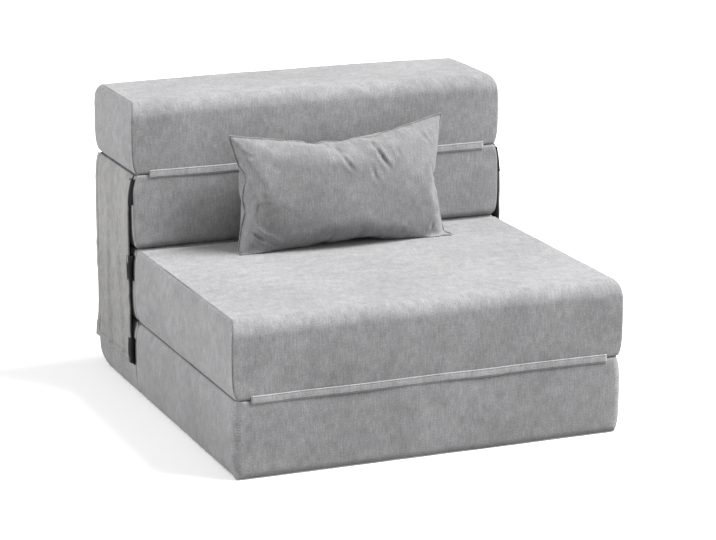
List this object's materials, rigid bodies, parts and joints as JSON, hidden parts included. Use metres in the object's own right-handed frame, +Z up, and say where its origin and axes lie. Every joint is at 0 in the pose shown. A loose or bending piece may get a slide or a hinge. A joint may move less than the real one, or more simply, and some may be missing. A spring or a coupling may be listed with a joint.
{
  "type": "convertible chair bed",
  "caption": "Low fold-out chair bed: a zigzag of padded fabric blocks forms the seat and back, with hanging side flaps and a loose pillow, and unfolds into a flat single bed.",
  "frame": {"origin": "on the floor, under the middle of the long floor layer's bottom face, in the folded chair pose", "axes": "+Z up, +Y from the seat's front towards the back, +X to the right as seen from the front"},
  "size_m": [0.7412, 0.7591, 0.5398],
  "materials": {
    "cover_fabric": "matte",
    "pillow_fabric": "matte",
    "hinge_fabric": "matte",
    "flap_fabric": "matte",
    "black_tape": "matte",
    "foam": "matte",
    "wadding": "matte",
    "zipper_tape": "matte",
    "zipper_metal": "satin"
  },
  "bodies": {
    "base": {"base_cover": "cover_fabric", "base_foam": "foam", "rear_base_cover": "cover_fabric", "rear_base_foam": "foam", "base_hinge_strip": "hinge_fabric", "left_base_patch": "black_tape", "right_base_patch": "black_tape", "base_zipper": "zipper_tape"},
    "seat": {"seat_cover": "cover_fabric", "seat_foam": "foam", "rear_seat_cover": "cover_fabric", "rear_seat_foam": "foam", "seat_hinge_strip": "hinge_fabric", "rear_seat_hinge_strip": "hinge_fabric", "left_seat_patch": "black_tape", "right_seat_patch": "black_tape"},
    "lower_back": {"lower_back_cover": "cover_fabric", "lower_back_foam": "foam", "lower_back_rear_strip": "hinge_fabric", "lower_back_hinge_strip": "hinge_fabric", "left_flap": "flap_fabric", "right_flap": "flap_fabric", "left_upper_tab": "black_tape", "right_upper_tab": "black_tape", "left_middle_tab": "black_tape", "right_middle_tab": "black_tape", "left_lower_tab": "black_tape", "right_lower_tab": "black_tape"},
    "upper_back": {"upper_back_cover": "cover_fabric", "upper_back_foam": "foam", "upper_back_hinge_strip": "hinge_fabric", "upper_back_zipper": "zipper_tape"},
    "pillow": {"pillow_cover": "pillow_fabric", "pillow_filling": "wadding"},
    "base_slider": {"base_zipper_slider": "zipper_metal"},
    "base_pull": {"base_zipper_pull": "zipper_metal"},
    "upper_slider": {"upper_back_zipper_slider": "zipper_metal"},
    "upper_pull": {"upper_back_zipper_pull": "zipper_metal"}
  },
  "joints": [
    {"name": "seat_flip", "type": "hinge", "parent": "base", "child": "seat", "pos_m": [0, -0.37615, 0.13715], "axis": [1, 0, 0], "range_deg": [0, 180]},
    {"name": "back_unfold", "type": "hinge", "parent": "seat", "child": "lower_back", "pos_m": [0, 0.37615, 0.27145], "axis": [-1, 0, 0], "range_deg": [0, 180], "deforming": ["left_flap", "right_flap", "left_upper_tab", "right_upper_tab", "left_middle_tab", "right_middle_tab", "left_lower_tab", "right_lower_tab"]},
    {"name": "top_fold", "type": "hinge", "parent": "lower_back", "child": "upper_back", "pos_m": [0, 0.14415, 0.40775], "axis": [1, 0, 0], "range_deg": [0, 180]},
    {"name": "pillow_slide", "type": "slide", "parent": "lower_back", "child": "pillow", "axis": [0, -0.9986, 0.0523], "range_m": [0, 0.377]},
    {"name": "base_slider_run", "type": "slide", "parent": "base", "child": "base_slider", "axis": [-1, 0, 0], "range_m": [0, 0.568]},
    {"name": "base_pull_swing", "type": "hinge", "parent": "base_slider", "child": "base_pull", "pos_m": [0.284, 0.3794, 0.07], "axis": [0, 0, 1], "range_deg": [0, 180]},
    {"name": "upper_slider_run", "type": "slide", "parent": "upper_back", "child": "upper_slider", "axis": [-1, 0, 0], "range_m": [0, 0.568]},
    {"name": "upper_pull_swing", "type": "hinge", "parent": "upper_slider", "child": "upper_pull", "pos_m": [0.284, 0.3794, 0.4659], "axis": [0, 0, 1], "range_deg": [0, 180]}
  ],
  "couplings": [
    {"joint": "back_unfold", "follows": "seat_flip", "ratio": 1},
    {"joint": "pillow_slide", "follows": "top_fold", "m_per_rad": 0.12}
  ]
}
